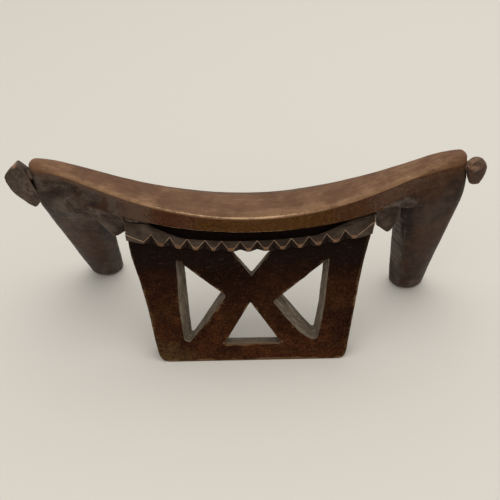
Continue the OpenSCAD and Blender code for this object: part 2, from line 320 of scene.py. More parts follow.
class Bench:
    # one material or world and its nodes
    def __init__(self, owner):
        self.owner = owner
        owner.use_nodes = True
        self.tree = owner.node_tree
        self.tree.nodes.clear()

    def add(self, kind, settings=None, sockets=None, out=0):
        node = self.tree.nodes.new(kind)
        for key, value in (settings or {}).items():
            if key == "stops":
                for i, (place, tone) in enumerate(value):
                    stop = node.color_ramp.elements[i] if i < 2 else node.color_ramp.elements.new(place)
                    stop.position, stop.color = place, (*tone, 1)
            else:
                setattr(node, key, value)
        for key, value in (sockets or {}).items():
            socket = node.inputs[key]
            if isinstance(value, Wire):
                self.tree.links.new(value.socket, socket)
            elif isinstance(value, tuple) and socket.type == "RGBA":
                socket.default_value = (*value, 1)
            else:
                socket.default_value = value
        return Wire(self, node.outputs[out]) if len(node.outputs) else None

    def clamped(self, value, low, high):
        # stretches low..high to 0..1 with soft ends
        return self.add("ShaderNodeMapRange", {"interpolation_type": "SMOOTHSTEP"},
                        {"Value": value, "From Min": low, "From Max": high})

    def mixed(self, first, second, share):
        return self.add("ShaderNodeMix", {"data_type": "RGBA"}, {0: share, 6: first, 7: second}, out=2)

    def noise(self, where, scale, detail, rough, twist):
        return self.add("ShaderNodeTexNoise", None, {
            "Vector": where, "Scale": scale, "Detail": detail, "Roughness": rough, "Distortion": twist})

    def carried(self, name, out=2):
        return self.add("ShaderNodeAttribute", {"attribute_name": name}, out=out)


def addRoom(look):
    h = look["floorHalf"]
    floor = newPiece("floor", [(-h, -h, 0), (h, -h, 0), (h, h, 0), (-h, h, 0)], [(0, 1, 2, 3)])
    bench = Bench(bpy.data.materials.new("pale floor"))
    shade = bench.add("ShaderNodeBsdfPrincipled", None, {
        "Base Color": look["floorColour"], "Roughness": 0.9, "Specular IOR Level": 0.1})
    bench.add("ShaderNodeOutputMaterial", None, {"Surface": shade})
    floor.data.materials.append(bench.owner)
    sky = bpy.data.worlds.new("room")
    bpy.context.scene.world = sky
    bench = Bench(sky)
    soft, plain = (bench.add("ShaderNodeBackground", None, {
        "Color": look[part + "Colour"], "Strength": look[part + "Strength"]}) for part in ("sky", "backdrop"))
    seen = bench.add("ShaderNodeLightPath")
    both = bench.add("ShaderNodeMixShader", None, {0: seen, 1: soft, 2: plain})
    bench.add("ShaderNodeOutputWorld", None, {"Surface": both})
    for name in look["lamps"]:
        addLamp(name, look)


addCamera(cameraLook)
addRoom(roomLook)
bpy.context.scene.view_settings.view_transform = "Standard"
say("camera, floor and lamps are up")


# Wood

woodScale = {
    "grain": (28.0, 210.0, 210.0), "pores": (1.0, 3.2, 3.2), "scratches": (0.6, 5.0, 5.0),
    "bumpDeep": 0.0004,
}

woodNoise = {
    # scale, detail, roughness and twist
    "cloud": (30.0, 3.0, 0.6, 0.4), "fleck": (220.0, 4.0, 0.65, 0.0), "streak": (1.0, 6.0, 0.72, 1.1),
    "blotch": (13.0, 3.0, 0.6, 1.2), "mottle": (95.0, 5.0, 0.7, 0.8), "lines": (1.0, 5.0, 0.62, 0.6),
    "pits": (2.4, 2.0, 0.5, 0.0), "marks": (3.0, 3.0, 0.5, 1.0),
}

noiseRange = {"cloud": (0.3, 0.7), "blotch": (0.54, 0.68), "mottle": (0.44, 0.64), "lines": (0.38, 0.62),
              "pits": (0.62, 0.74), "marks": (0.66, 0.74)}


def woodSkin(bench, look, noises):
    # the colour of one skin of the wood: its own tones, its zones, then what lies over both
    cloud, fleck = noises["cloud"], noises["fleck"]
    colour = bench.add("ShaderNodeValToRGB", {"stops": look["tones"]}, {0: cloud})
    for zone, tone, share, *through in look["zones"]:
        mask = bench.clamped(bench.carried(zone) + (fleck - 0.5) * 0.5 + (cloud - 0.5) * 0.3, 0.25, 0.75)
        for name in through:
            mask = mask * noises[name]
        colour = bench.mixed(colour, tone, mask * share)
    ragged = noises["wear"] + (fleck - 0.5) * look.get("wearRagged", 0.35)
    masks = {
        "blotch": noises["blotch"], "mottle": noises["mottle"], "grain": 1 - noises["lines"],
        "fleck": bench.clamped(fleck, 0.52, 0.72), "speck": noises["specks"], "pore": noises["pits"],
        "sawn": noises["sawn"], "wear": bench.clamped(ragged, look["wearStart"], look["wearStart"] + 0.5),
        "grimeAndShade": noises["packed"], "scratch": noises["marks"],
    }
    for name, mask in masks.items():
        tone, share = look.get(name, (None, 0))
        if isinstance(tone, list):          # a ramp of tones along the strokes of the knife
            tone = bench.add("ShaderNodeValToRGB", {"stops": tone}, {0: noises["streak"]})
        if share:
            colour = bench.mixed(colour, tone, mask * share)
    return colour


def carvedWood(name, look, other=None):
    bench = Bench(bpy.data.materials.new(name))
    place = bench.add("ShaderNodeTexCoord", out=3)
    grown = place * look.get("grainScale", woodScale["grain"])
    where = {"lines": grown, "pits": grown * woodScale["pores"], "marks": grown * woodScale["scratches"],
             "streak": bench.carried("cutWay", 1)}
    noises = {kind: bench.noise(where.get(kind, place), look.get(kind + "Scale", scale), *rest)
              for kind, (scale, *rest) in woodNoise.items()}
    fleck, cloud = noises["fleck"], noises["cloud"]
    for kind, span in noiseRange.items():
        noises[kind] = bench.clamped(noises[kind], *span)
    noises["specks"] = 1 - bench.clamped(fleck, 0.38, 0.52)
    noises["sawn"] = bench.clamped(bench.carried("sawn") + (fleck - 0.5) * 0.4, 0.3, 0.6)
    noises["packed"] = bench.clamped(bench.carried("grimeAndShade") + (fleck - 0.5) * 0.2, 0.12, 0.7)
    noises["wear"] = bench.carried("wear")
    colour = woodSkin(bench, look, noises)
    if other:
        ragged = bench.carried("darkened") + (fleck - 0.5) * 0.3 + (cloud - 0.5) * 0.5
        colour = bench.mixed(colour, woodSkin(bench, other, noises), bench.clamped(ragged, 0.2, 0.8))
    rough = look["roughness"] + (noises["cloud"] - 0.5) * 0.12 + (1 - noises["lines"]) * 0.05
    rough = rough + noises["pits"] * 0.1 - bench.clamped(noises["wear"], 0.1, 0.8) * look["polish"]
    height = noises["lines"] * 0.6 + fleck * 0.5 - noises["pits"] * 0.8 - noises["marks"] * 0.4
    height = height + noises["sawn"] * noises["streak"] * look.get("sawnDeep", 0.0)
    bump = bench.add("ShaderNodeBump", None, {
        "Strength": look["bump"], "Distance": woodScale["bumpDeep"], "Height": height})
    shade = bench.add("ShaderNodeBsdfPrincipled", None, {
        "Base Color": colour, "Roughness": rough, "Normal": bump, "Specular IOR Level": look["specular"],
        "Coat Weight": bench.carried("sheen") * look["coat"], "Coat Roughness": 0.3})
    bench.add("ShaderNodeOutputMaterial", None, {"Surface": shade})
    return bench.owner


# The dark skin that the legs wear, and that the saddle takes on towards them.
# In each look a zone is a painted mask, its tone, its share and sometimes a noise that it shows through.
# The other layers are a tone and a share.

legLook = {
    "tones": [(0.0, (0.027, 0.015, 0.010)), (0.5, (0.047, 0.027, 0.018)), (1.0, (0.072, 0.044, 0.030))],
    # of these zones the dusty grey is partly a painted sheen, the pale scraped grey painted light, the
    # near-black one painted shade
    "zones": [("browned", (0.068, 0.030, 0.015), 0.7), ("dusty", (0.125, 0.100, 0.080), 0.7),
              ("scraped", (0.175, 0.143, 0.120), 0.8), ("stained", (0.018, 0.011, 0.011), 0.7),
              ("sheltered", (0.006, 0.003, 0.002), 0.92)],
    "blotch": ((0.018, 0.010, 0.010), 0.6), "mottle": ((0.020, 0.011, 0.010), 0.5),
    "grain": ((0.028, 0.017, 0.013), 0.3), "grainScale": (130.0, 130.0, 75.0),
    "fleck": ((0.11, 0.075, 0.05), 0.3), "pore": ((0.014, 0.009, 0.007), 0.5),
    "wear": ((0.15, 0.105, 0.075), 0.5), "wearStart": 0.25,
    "grimeAndShade": ((0.010, 0.007, 0.006), 0.8), "scratch": ((0.15, 0.11, 0.085), 0.3),
    "roughness": 0.45, "polish": 0.08, "bump": 0.4, "specular": 0.08, "coat": 0.0,
}

# size and seed of that skin's own lumps, which run on from the legs over the saddle
skinLumps = {"brown": ((26, 26, 34), 17), "dust": ((9, 9, 16), 19), "stain": ((17, 15, 11), 20)}


# Saddle: a long dished bar, lens-shaped from above, soft on its upper edges

saddleShape = {
    "half": 216.0, "width": 52.0, "restHeight": 150.0, "tipRise": 55.0, "tipLevel": 0.3,
    "midThick": 17.0, "endThick": 28.0, "tipRadius": 8.0,
    "leftInset": 3.5, "rightInset": 1.7,
    "frontEdge": 3.0, "backEdge": 5.0, "endEdge": 4.0, "endsFrom": (168, 186),
    "lowerEdge": 1.3, "lowerSharp": 0.2, "sharpFrom": (120, 140),
    "backOut": 1.2, "backOutTo": (60, 150), "crown": 1.2, "tipRound": 6.0, "tipGap": 0.02,
    "stations": 260, "rows": {"front": 14, "roll": 9, "top": 26, "back": 12, "foot": 4, "under": 18},
}

saddleLook = {
    "tones": [(0.0, (0.160, 0.079, 0.042)), (0.5, (0.214, 0.113, 0.060)), (1.0, (0.268, 0.148, 0.080))],
    # the face zones paint the front face darker as painted shade; the pale top zone is partly a painted
    # highlight
    "zones": [("paled", (0.36, 0.212, 0.110), 0.75), ("face", (0.062, 0.025, 0.010), 0.97),
              ("golden", (0.080, 0.034, 0.004), 0.85), ("reddish", (0.060, 0.017, 0.007), 0.75),
              ("face", (0.016, 0.004, 0.002), 0.55, "specks"), ("dulled", (0.125, 0.090, 0.072), 0.55),
              ("scraped", (0.098, 0.071, 0.058), 0.85), ("stained", (0.022, 0.012, 0.011), 0.65)],
    "blotch": ((0.10, 0.042, 0.024), 0.35), "mottle": ((0.11, 0.048, 0.026), 0.22),
    "grain": ((0.09, 0.038, 0.019), 0.34), "fleck": ((0.28, 0.155, 0.08), 0.17), "fleckScale": 400.0,
    "pore": ((0.04, 0.017, 0.009), 0.55),
    # on the saddle the cream wear tone also paints the edges' highlights
    "wear": ((0.66, 0.44, 0.255), 0.85), "wearStart": 0.3, "wearRagged": 0.9,
    "grimeAndShade": ((0.015, 0.008, 0.006), 0.8), "scratch": ((0.30, 0.18, 0.11), 0.2),
    "roughness": 0.42, "polish": 0.1, "bump": 0.35, "specular": 0.03, "coat": 0.14,
}


def topAt(x, s=saddleShape):
    u = np.abs(x) / s["half"]
    return s["restHeight"] + s["tipRise"] * u ** 2 * (1 + s["tipLevel"] - s["tipLevel"] * u ** 6)


def underAt(x, s=saddleShape):
    u = np.minimum(np.abs(x) / s["half"], 1)
    return topAt(x) - s["midThick"] - (s["endThick"] - s["midThick"]) * np.sin(np.pi / 2 * u) ** 2


def halfWidthAt(x, s=saddleShape):
    u = np.abs(x) / s["half"]
    past = np.maximum(np.abs(x) - (s["half"] - s["tipRadius"]), 0) / s["tipRadius"]
    lens = s["tipRadius"] + (s["width"] / 2 - s["tipRadius"]) * (1 - u ** 2)
    return lens * np.sqrt(np.maximum(1 - past ** 2, 0))


def endInset(x, drop, s=saddleShape):
    # the left end leans inwards below its tip, the right one stands upright and a little short
    inset = np.where(x < 0, s["leftInset"] * drop, s["rightInset"] * (1 - ease(drop, 0.5, 1)))
    return -np.sign(x) * inset * ease(np.abs(x), 150, s["half"])


def saddleSection(x, s):
    half, high, low = max(halfWidthAt(x), s["tipGap"]), topAt(x), underAt(x)
    outer, sharp = (float(ease(abs(x), *s[k])) for k in ("endsFrom", "sharpFrom"))
    tip = max(0.0, abs(x) - (s["half"] - s["tipRound"])) / s["tipRound"]
    high -= s["tipRound"] * (1 - math.sqrt(max(0.0, 1 - tip * tip)))
    front, back = (min(blendTo(s[k], s["endEdge"], outer), 0.85 * half) for k in ("frontEdge", "backEdge"))
    lower = min(blendTo(s["lowerEdge"], s["lowerSharp"], sharp), 0.5 * half)
    behind = half + s["backOut"] * fade(abs(x), *s["backOutTo"])
    rows, ring = s["rows"], []

    def corner(cy, cz, r, start, count):
        for k in range(count):
            a = math.radians(start - 90 * k / (count - 1))
            ring.append((cy + r * math.cos(a), cz + r * math.sin(a)))

    def line(a, b, count):
        for k in range(1, count):
            ring.append((blendTo(a[0], b[0], k / count), blendTo(a[1], b[1], k / count)))

    line((-half, low + lower), (-half, high - front), rows["front"])
    corner(-half + front, high - front, front, 180, rows["roll"])
    line((-half + front, high), (behind - back, high), rows["top"])
    corner(behind - back, high - back, back, 90, rows["roll"])
    line((behind, high - back), (behind, low + lower), rows["back"])
    corner(behind - lower, low + lower, lower, 0, rows["foot"])
    line((behind - lower, low), (-half + lower, low), rows["under"])
    corner(-half + lower, low + lower, lower, 270, rows["foot"])
    y, z = np.array(ring).T
    rise = ease(z, high - 5, high) * s["crown"] * (1 - (y / half) ** 2)
    drop = (high - z) / (high - low)
    return np.column_stack([x + endInset(x, drop), y, z + rise])


def paintSaddle(piece, points, s):
    x, y, z = points.T
    far, half = np.abs(x), halfWidthAt(x)
    below, above = topAt(x) - z, z - underAt(x)
    onFront, onTop = ease(-y, 0, 4), ease(-below, -3.2, -1.5)
    # rubbed edges with painted highlights: a thin cream line in front, and a thinner one below it
    edge = s["frontEdge"]
    angle = np.degrees(np.arctan2(edge - below, -(y + half - edge)))
    line = np.exp(-((angle - 52) / 19) ** 2) * ease(-below, -4.5, -3) * onFront * fade(far, 150, 200)
    line = line * (0.4 + 0.6 * ease(x, -120, -40) * fade(x, 20, 75)) * (1 - 0.5 * ease(x, 60, 110))
    foot = 0.62 * fade(np.hypot(above, y + half), 0.5, 1.6) * fade(x, 25, 80) * fade(-x, 85, 112)
    # the top, paler where hands and necks have rubbed it, with a painted soft highlight along its front edge
    strip = np.exp(-((y + half - 1.5) / 8.5) ** 2) * onTop * onFront
    strip = strip * (0.5 + 0.15 * ease(-x, 40, 90) + 0.2 * ease(x, 40, 80)) * (1 - 0.5 * ease(far, 170, 205))
    handled = 0.52 * ease(-y, -2, 18) * onTop * (1 - 0.55 * ease(far, 90, 140))
    knot = 0.5 * np.exp(-((x + 146) / 9) ** 2 - ((y + 1) / 5) ** 2) * ease(-below, -2, -0.5)
    # the front face, painted darker than the top as painted shade, golden in its middle and reddish left of it
    slow = np.maximum(11 * ease(x, 150, 205), 6 * ease(-x, 175, 208))
    face = ease(below, 1.3 - 0.1 * slow, 3.4 + slow) * ease(-y, -4, 2)
    patchy = 0.3 * lattice(points, (14, 9, 8), 22) * ease(130 - far, 0, 20)
    stain = 1.6 * lattice(points, *skinLumps["stain"]) * ease(-x, 132, 165) * ease(below, 5, 11)
    band = ease(9 - above, 0, 6) * ease(-y, 2, 5)
    # the legs' dark skin, which runs over the ends and the underside; the underside also gets painted shade
    drop = ease(below, 2, 9 + slow) * (0.85 * ease(-x, 85, 155) + 0.6 * ease(x, 110, 190))
    runsOver = fade(above, 0, 13) * ease(far, 122, 150)
    under = ease(-normalsOf(piece)[:, 2], 0.75, 0.95)
    dust = 0.72 * ease(-x, 95, 140) + 0.3 * ease(x, 100, 150)
    paint(
        piece, face=face, sheen=ease(-below, -3, -0.5), sheltered=under * 0.6,
        wear=line * (0.9 + 0.35 * lattice(points, (14, 5, 5), 18)) + foot,
        paled=np.maximum(strip, handled), stained=np.maximum(stain, knot),
        browned=0.55 + 0.6 * lattice(points, *skinLumps["brown"]),
        # painted light: a paler band above the front's lower edge near the ends
        scraped=0.58 * band * (ease(x, 118, 138) + 0.5 * ease(-x, 126, 140)) * fade(far, 150, 182),
        darkened=np.maximum.reduce([face * drop, ease(y, 4, 12) * drop, runsOver, under]),
        # a painted grey sheen on the top's back edge, and a greyer tone on the front face's ends
        dulled=np.maximum(ease(y, 14, 22) * ease(110 - far, 0, 60) * ease(-below, -7, -2),
                          face * np.maximum(ease(-x, 65, 130), 0.52 * ease(x, 85, 140))),
        dusty=face * (0.75 + 0.5 * lattice(points, *skinLumps["dust"])) * dust,
        golden=face * (ease(x, -105, -10) * fade(x, 45, 125) + patchy),
        reddish=face * (ease(x, -115, -75) * fade(x, -75, -25) + 0.35 * ease(x, 60, 110) - patchy))


def buildSaddle(s):
    # stations lie closer together towards the tips
    turns = np.linspace(0, np.pi, s["stations"] + 1)[1:-1]
    stations = s["half"] * (0.55 * -np.cos(turns) + 0.45 * (2 * turns / np.pi - 1))
    last = s["half"] - s["tipGap"]
    verts, faces = loft([saddleSection(x, s) for x in np.concatenate([[-last], stations, [last]])])
    piece = newPiece("carved_saddle", verts, faces, weld=0.01)
    points = pointsOf(piece)
    x, _, z = points.T
    below = topAt(x) - z
    height = 0.5 * lattice(points, (60, 30, 40), 3) + 0.22 * lattice(points, (18, 12, 14), 4)
    height += 0.12 * ease(below, 1, 6) * toolFacets(points, (13, 10, 9), 5)
    height += 0.06 * lattice(points, (5, 3, 4), 6)
    seam = ease(np.abs(x), 140, 175) * ease(below, 12, 22)      # stays true where the legs meet it
    pushed(piece, height * (1 - seam))
    paintSaddle(piece, points, s)
    finished(piece, carvedWood("worn saddle wood", saddleLook, legLook), "saddle")


buildSaddle(saddleShape)
say("saddle is carved")


# Legs: each flows out of the saddle's end and tapers back to a round foot

legShape = {
    "left": {
        "sign": -1, "outer": -212.5, "inner": -142.0, "foot": (-169.0, 106.0),
        "facet": (0.80, -0.60), "facetAt": 0.84, "collar": 154.0, "collarSoft": 3.0,
        "shadeTo": 163.0, "shadeFacing": (0.36, 0.62), "dust": 0.72, "stain": 1.0},
    "right": {
        "sign": 1, "outer": 215.0, "inner": 145.0, "foot": (177.0, 69.0),
        "facet": (-0.85, -0.52), "facetAt": 0.76, "collar": 151.5, "collarSoft": 1.2,
        "shadeTo": 173.0, "shadeFacing": (0.54, 0.68), "dust": 0.15, "stain": 0.3},
    "footRadius": 18.5, "shoulder": 4.6, "shoulderFades": (160.0, 180.0),
    "collarSquare": 7.0, "square": 2.6, "bend": 0.16, "footEdge": 3.0,
    "sides": 112, "rings": 110, "bendRings": 64,
    "root": ((7.0, 0.72), (1.2, 0.93), (0.25, 0.985)),      # lift into the saddle, and shrink
}


def legRings(own, s):
    turns = np.linspace(0, 2 * np.pi, s["sides"], endpoint=False)
    u, v = np.cos(turns), np.sin(turns)         # u is 1 on the outer side
    centre, reach = (own["outer"] + own["inner"]) / 2, abs(own["outer"] - own["inner"]) / 2
    topX = centre + own["sign"] * reach * u
    plain = topX - endInset(topX, 1.0)          # the matching place on the saddle's own outline
    topZ, side = underAt(plain), halfWidthAt(plain)
    squares = s["square"], s["collarSquare"]
    closing, full = (np.where(u < 0, (1 - np.abs(u) ** k).clip(0) ** (1 / k), 1) for k in squares)
    tipLimit = np.where(np.abs(plain) > saddleShape["half"] - 1, np.sqrt(1 - u.clip(0, 1) ** 2) * 10, 99)
    step = s["shoulder"] * fade(np.abs(plain), *s["shoulderFades"])
    topY = np.sign(v) * np.minimum(tipLimit, side - step) * closing
    collarY = np.sign(v) * np.minimum(tipLimit, side - 0.2) * np.where(v < 0, full, closing)
    footX, footY = own["foot"][0] + own["sign"] * s["footRadius"] * u, own["foot"][1] + s["footRadius"] * v
    facet = np.array(own["facet"]) / np.linalg.norm(own["facet"])
    rings = [np.column_stack([centre + (topX - centre) * k, collarY * k, topZ + lift]) for lift, k in s["root"]]
    bend, collar = s["bend"], own["collar"]
    for t in np.concatenate([np.linspace(0, bend, s["bendRings"])[:-1], np.linspace(bend, 1, s["rings"])]):
        w = (t * t / (2 * bend) if t < bend else t - bend / 2) / (1 - bend / 2)
        z = topZ * (1 - t)
        above = ease(z, collar - own["collarSoft"], collar) * fade(topZ - collar - 8, 10, 14)
        x, y = blendTo(topX, footX, w), blendTo(blendTo(topY, collarY, above), footY, w)
        under = max(0, s["footEdge"] - z.min()) / s["footEdge"]
        if under > 0:       # the sole's edge is rounded
            pinch = 1 - (1 - math.sqrt(max(0, 1 - under ** 2))) * s["footEdge"] / s["footRadius"]
            x, y = x.mean() + (x - x.mean()) * pinch, y.mean() + (y - y.mean()) * pinch
        away = (x - x.mean()) * facet[0] + (y - y.mean()) * facet[1]
        flat = float(ease(t, 0.06, 0.25) * (1 - 0.7 * ease(t, 0.8, 1.0)))
        over = np.maximum(away - away.max() * blendTo(1.0, own["facetAt"], flat), 0)
        over = over * over / (over + 1.5)
        rings.append(np.column_stack([x - over * facet[0], y - over * facet[1], z]))
    return rings


def buildLeg(side, s):
    own = s[side]
    sign, collar = own["sign"], own["collar"]
    verts, faces = loft(legRings(own, s))
    piece = newPiece("carved_" + side + "_leg", verts, faces, weld=0.01)
    points = pointsOf(piece)
    x, y, z = points.T
    far = np.abs(x)
    keepWear(piece, (3, 14), (0.14, 0.6), 0.4 * fade(z, 110, 125))
    free = ease(z, 0, 4) * fade(z, 140, 156)
    height = free * (0.5 * lattice(points, (22, 22, 40), 11) + 0.2 * lattice(points, (9, 9, 16), 12))
    height += free * 0.13 * toolFacets(points, (10, 10, 22), 13 + sign)
    height += ease(z, 0, 3) * 0.06 * lattice(points, (3, 3, 5), 15)
    pushed(piece, height)
    ways = normalsOf(piece)
    inCollar = ease(z, collar - 1, collar)
    strokes = 0.75 + 0.5 * lattice(np.column_stack([x + z, y, x - z]), (3, 6, 16), 16)
    cutFlat = ease(ways @ np.array([*own["facet"], 0.0]), 0.86, 0.99) * ease(z, 8, 60)
    # painted shade on the leg's front just under the saddle's overhang, darkest at the inner corner
    corner = fade(far - 0.1 * (140 - z), own["shadeTo"] - 16, own["shadeTo"]) * ease(z, 55, 125)
    # grey: a painted sheen on the leg's outer side, greyer towards the foot, and dust near the top
    dust = np.maximum.reduce([ease(sign * ways[:, 0], 0.4, 0.95) * ease(z, 5, 40) * fade(z, 130, 160),
                              0.62 * fade(z, 10, 75), own["dust"] * ease(z, 105, 150)])
    paint(
        piece, dusty=dust * (0.75 + 0.5 * lattice(points, *skinLumps["dust"])),
        browned=0.35 + 0.6 * lattice(points, *skinLumps["brown"])
        + 0.45 * ease(-ways[:, 1], 0.6, 0.9) * ease(140 - z, 0, 30),
        # painted light: a paler collar band under the saddle, and the cut flats catching light, with knife
        # strokes
        scraped=inCollar * 0.54 * fade(far, 148, 190) * ease(-y, 2, 6) + 0.8 * strokes * cutFlat,
        stained=1.5 * lattice(points, *skinLumps["stain"]) * ease(z, 90, 125) * own["stain"],
        sheltered=(1 - inCollar) * corner * ease(-ways[:, 1], *own["shadeFacing"]))
    finished(piece, legWood, side + "_leg")


legWood = carvedWood("dark leg wood", legLook)
for side in ("left", "right"):
    buildLeg(side, legShape)
say("legs are carved")


# Front panel: leaning slab with four windows that narrow towards the back

panelShape = {
    "reach": 67.0, "lean": 20.7, "thick": 24.0, "intoSaddle": 2.0, "topSpan": (-124, 125.5), "topPoints": 60,
    "lowHalf": 96.0, "highHalf": 126.0, "highAt": 150.0,
    "ledgeUp": 119.2, "ledgeCurve": 9.4, "ledgeSlant": 0.7,
    "leftEdge": [(-125.8, 160), (-125.2, 140), (-124.0, 130), (-121.3, 115), (-113.9, 87.5), (-106.7, 57.4),
                 (-100.1, 21.5), (-97.6, 9), (-94.8, 3), (-89, 0)],
    "rightEdge": [(90, 0), (95.5, 3), (97.6, 9), (99.4, 19.2), (107, 62.4), (114.9, 105.8),
                  (122.7, 134.8), (125.4, 145), (127, 160)],
    "windows": [        # each one's outline in front and behind
        ([(-76, 110), (-26, 70.5), (-44, 46), (-65, 21.5), (-70.5, 23.5), (-75, 60)],
         [(-69.3, 104.7), (-28.9, 72.8), (-45, 50), (-61, 26.5), (-63.6, 26.5), (-66, 60)]),
        ([(80, 109), (75, 62), (70.5, 36), (66.5, 22.5), (61, 22), (49, 30), (34, 47), (21.5, 63.5)],
         [(75.3, 105.3), (70.2, 57), (66.6, 40), (64.6, 30), (62.6, 29.6), (53, 40), (41, 55), (29, 69.3)]),
        ([(-1.5, 64), (30, 18.5), (-28.5, 19.5)], [(-1.5, 62), (29.5, 17), (-28, 17.5)]),
        ([(0.5, 91), (-13, 109), (-23, 126), (25, 126), (14, 109)],
         [(0.5, 89.5), (-16, 109), (-28, 126), (30, 126), (17, 109)]),
    ],
    "outlineRound": 3.5, "outlinePoints": 520, "windowRound": 1.5, "windowSpacing": 1.5,
    "edge": 1.3, "edgeRows": 5, "walls": 12,
    "grid": 2.2, "gridJitter": 0.12, "gridAcross": (-126, 128), "gridUp": (0, 176), "rimClear": 0.6,
    "grooveFrom": 9.5, "grooveDeep": 6.5, "sill": 19.2, "sillHalf": 31,
}

panelLook = {
    "tones": [(0.0, (0.026, 0.008, 0.004)), (0.5, (0.042, 0.014, 0.005)), (1.0, (0.062, 0.023, 0.008))],
    "zones": [("dusky", (0.006, 0.002, 0.001), 0.92), ("rusty", (0.086, 0.027, 0.009), 0.6),
              ("olive", (0.105, 0.062, 0.025), 0.65)],
    "sawn": ([(0.32, (0.045, 0.032, 0.022)), (0.5, (0.155, 0.120, 0.086)), (0.66, (0.30, 0.245, 0.185))], 1.0),
    "sawnDeep": 2.5,
    "blotch": ((0.014, 0.005, 0.003), 0.35), "mottle": ((0.012, 0.004, 0.003), 0.55),
    "grain": ((0.010, 0.004, 0.003), 0.35), "grainScale": (60.0, 300.0, 200.0),
    "fleck": ((0.115, 0.052, 0.021), 0.35), "fleckScale": 460.0, "speck": ((0.008, 0.0025, 0.001), 0.5),
    "pore": ((0.008, 0.004, 0.003), 0.5), "wear": ((0.18, 0.105, 0.052), 0.6), "wearStart": 0.45,
    "grimeAndShade": ((0.010, 0.006, 0.005), 0.7), "scratch": ((0.20, 0.13, 0.08), 0.45),
    "roughness": 0.55, "polish": 0.1, "bump": 0.5, "specular": 0.02, "coat": 0.0,
}

panelLean = math.radians(panelShape["lean"])
slopeSin, slopeCos = math.sin(panelLean), math.cos(panelLean)


def onPanel(x, s, n):
    # s runs up the slope and n out of its front face
    x, s, n = (np.ravel(v) for v in np.broadcast_arrays(x, s, n))
    return np.column_stack([x, -panelShape["reach"] + s * slopeSin - n * slopeCos, s * slopeCos + n * slopeSin])


def slopeOf(y, z):
    n = -(y + panelShape["reach"]) * slopeCos + z * slopeSin
    return (z - n * slopeSin) / slopeCos, n


def rounded(loop, radius, spacing):
    # a closed outline with cut-round corners, sampled evenly, by a spacing or a whole count
    out = []
    for i, p in enumerate(loop):
        a, b = loop[i - 1], loop[(i + 1) % len(loop)]
        da, db = a - p, b - p
        ra, rb = (min(radius, 0.4 * np.linalg.norm(d)) for d in (da, db))
        pa, pb = p + da / np.linalg.norm(da) * ra, p + db / np.linalg.norm(db) * rb
        out += [(1 - t) ** 2 * pa + 2 * t * (1 - t) * p + t ** 2 * pb for t in np.linspace(0, 1, 6)]
    closed = np.array(out + out[:1])
    along = np.concatenate([[0], np.cumsum(np.linalg.norm(np.diff(closed, axis=0), axis=1))])
    count = spacing if isinstance(spacing, int) else max(12, int(along[-1] / spacing))
    at = np.linspace(0, along[-1], count, endpoint=False)
    return np.column_stack([np.interp(at, along, closed[:, k]) for k in range(2)])


def inward(loop, distance):
    # moves an outline sideways, to its left
    ahead = np.roll(loop, -1, axis=0) - np.roll(loop, 1, axis=0)
    ahead /= np.linalg.norm(ahead, axis=1)[:, None].clip(1e-9)
    return loop + distance * np.column_stack([-ahead[:, 1], ahead[:, 0]])


def turned(loop, left):
    loop = np.array(loop, float)
    x, y = loop.T
    area = np.sum(x * np.roll(y, -1) - np.roll(x, -1) * y)
    return loop if (area > 0) == left else loop[::-1]


def insideOf(points, loop):
    # even-odd test of points against one outline
    x, y = (v[:, None] for v in points.T)
    (x0, y0), (x1, y1) = loop.T, np.roll(loop, -1, axis=0).T
    with np.errstate(divide="ignore", invalid="ignore"):
        cut = (x1 - x0) * (y - y0) / (y1 - y0) + x0
    return (((y0 > y) != (y1 > y)) & (x < cut)).sum(axis=1) % 2 == 1


def onWood(points, rings):
    return insideOf(points, rings[0]) & ~np.any([insideOf(points, ring) for ring in rings[1:]], axis=0)


def panelLoops(p):
    # the outer outline and the windows, each in front and behind
    left, right = p["topSpan"]
    outlines = []
    for n in (0.0, -p["thick"]):
        top = [(x, (float(underAt(x)) + p["intoSaddle"] - n * slopeSin) / slopeCos)
               for x in np.linspace(right, left, p["topPoints"])]
        low = [(x, s - n * math.tan(panelLean)) for x, s in p["leftEdge"] + p["rightEdge"]]
        outlines.append(rounded(turned(top + low[1:-1], True), p["outlineRound"], p["outlinePoints"]))
    loops = [outlines]
    for front, back in p["windows"]:
        front = rounded(turned(front, False), p["windowRound"], p["windowSpacing"])
        loops.append((front, rounded(turned(back, False), p["windowRound"], len(front))))
    return loops


